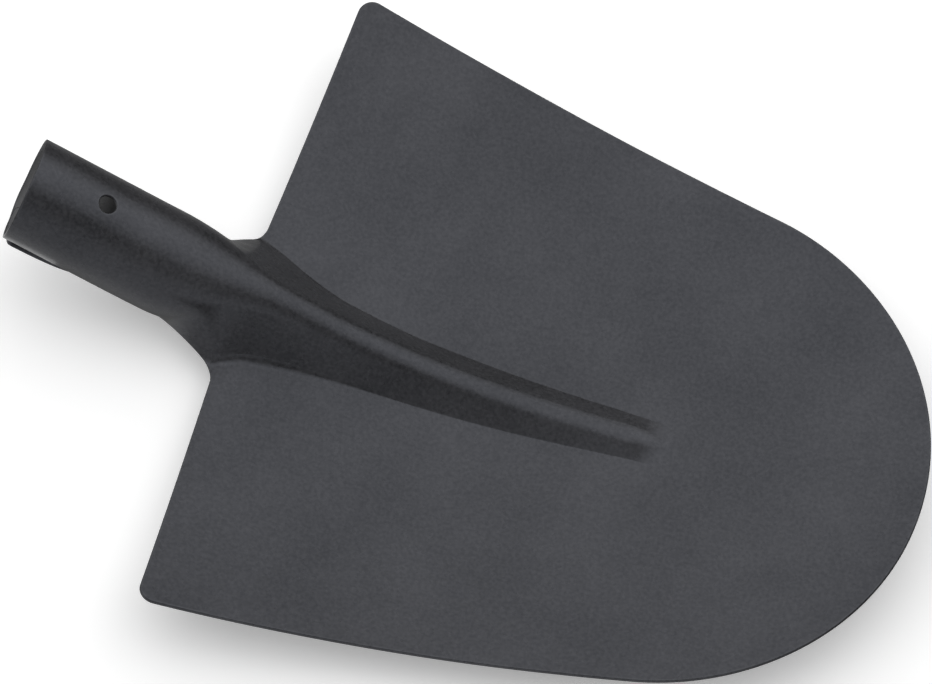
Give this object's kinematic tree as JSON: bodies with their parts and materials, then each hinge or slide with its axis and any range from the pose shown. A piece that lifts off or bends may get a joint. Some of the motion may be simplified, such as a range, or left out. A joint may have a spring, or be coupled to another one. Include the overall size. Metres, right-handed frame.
{
  "type": "shovel head",
  "caption": "Round-nosed pointed shovel head pressed from one steel sheet, with a dished blade, a raised rib and a rolled, lapped and riveted handle socket.",
  "frame": {"origin": "middle of the head's box, at the level of the belly it lies on", "axes": "+X from the socket to the nose, +Y across the blade, +Z out of the dished face"},
  "size_m": [0.3578, 0.268, 0.0672],
  "materials": {
    "charcoal_paint": "semi-matte charcoal powder coat",
    "coated_rivet": "steel rivet coated with the head"
  },
  "bodies": {
    "root": {"blade": "charcoal_paint", "socket_rivet_mouth": "coated_rivet", "socket_rivet_neck": "coated_rivet"}
  },
  "joints": []
}
